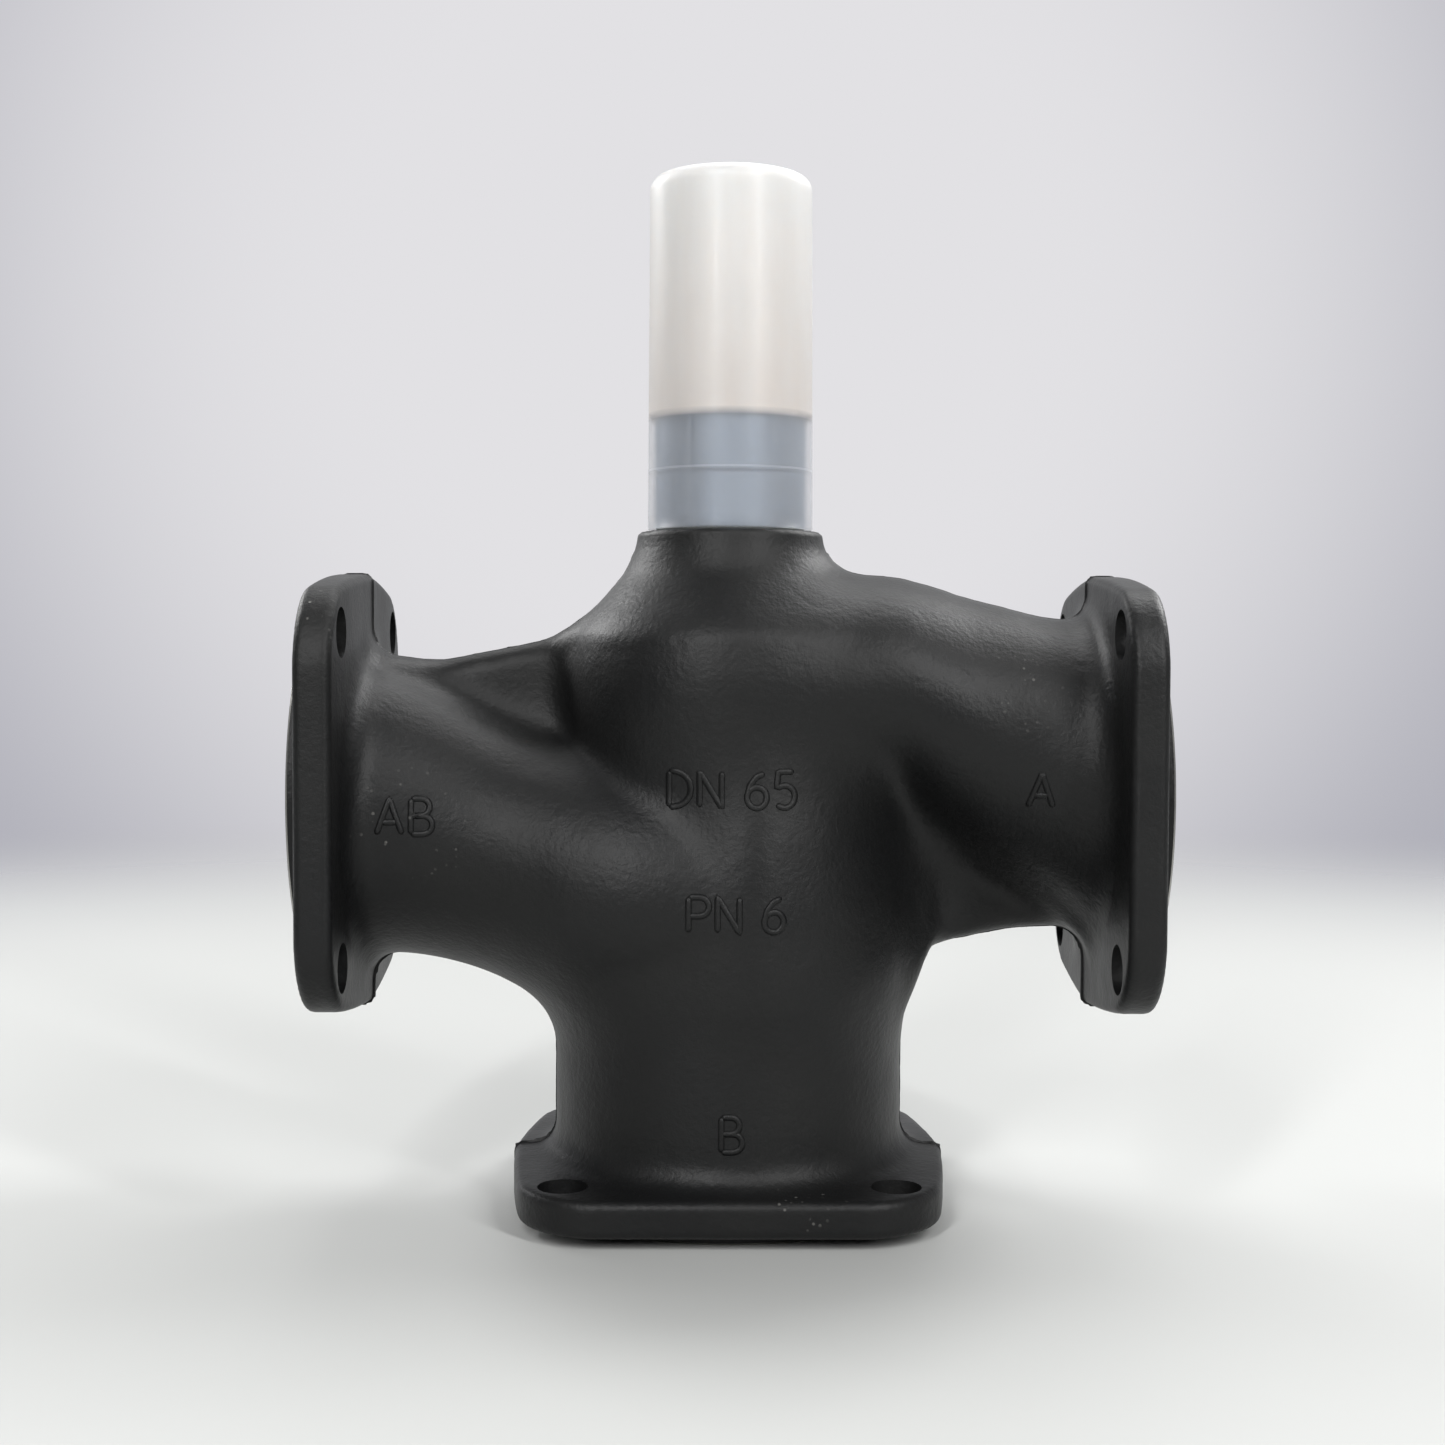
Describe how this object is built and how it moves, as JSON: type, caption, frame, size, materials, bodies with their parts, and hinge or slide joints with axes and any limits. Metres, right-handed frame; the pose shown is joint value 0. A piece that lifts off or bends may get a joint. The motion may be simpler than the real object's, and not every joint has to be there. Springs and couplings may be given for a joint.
{
  "type": "three-port flanged mixing valve",
  "caption": "Cast-iron three-port flanged control valve for heating water, with its stem under a push-on transport cap and no actuator.",
  "frame": {"origin": "centre of the B port's sealing face, at the bottom", "axes": "+Z along the stem, out of the valve; +X along the pipe axis from port AB to port A; the valve is symmetric about the XZ plane"},
  "size_m": [0.24, 0.125, 0.2993],
  "materials": {
    "body_casting": "satin black paint over grey iron",
    "seat_bronze": "turned bronze",
    "plug_brass": "turned brass",
    "stainless_steel": "ground stainless steel",
    "zinc_plated_steel": "bright zinc plate on turned steel",
    "gasket_fibre": "pressed fibre sheet",
    "seal_rubber": "black EPDM",
    "ptfe": "waxy white PTFE",
    "cap_polyethylene": "milky natural polyethylene"
  },
  "bodies": {
    "housing": {"valve_body": "body_casting", "seat_ring_a": "seat_bronze", "seat_ring_a_seal": "seal_rubber", "seat_ring_b": "seat_bronze", "seat_ring_b_seal": "seal_rubber", "bonnet_gasket": "gasket_fibre", "bonnet": "zinc_plated_steel", "guide_bush": "seat_bronze", "spring_seat_washer": "stainless_steel", "packing_spring": "stainless_steel", "spring_top_washer": "stainless_steel", "packing_header": "ptfe", "packing_rings": "ptfe", "gland_follower": "plug_brass", "stem_seal": "seal_rubber", "packing_nut": "zinc_plated_steel", "packing_nut_seal": "seal_rubber", "wiper_ring": "seal_rubber"},
    "stem_unit": {"stem": "stainless_steel", "valve_plug": "plug_brass", "plug_seal_a": "ptfe", "plug_seal_b": "ptfe", "plug_skirt_a": "plug_brass", "plug_skirt_b": "plug_brass", "plug_washer": "stainless_steel", "plug_nut": "stainless_steel", "plug_pin": "stainless_steel"},
    "cap": {"transport_cap": "cap_polyethylene"}
  },
  "joints": [
    {"name": "stem_lift", "type": "slide", "parent": "housing", "child": "stem_unit", "axis": [0, 0, 1], "range_m": [0, 0.02]},
    {"name": "cap_pull", "type": "slide", "parent": "housing", "child": "cap", "axis": [0, 0, 1], "range_m": [0, 0.095]}
  ]
}
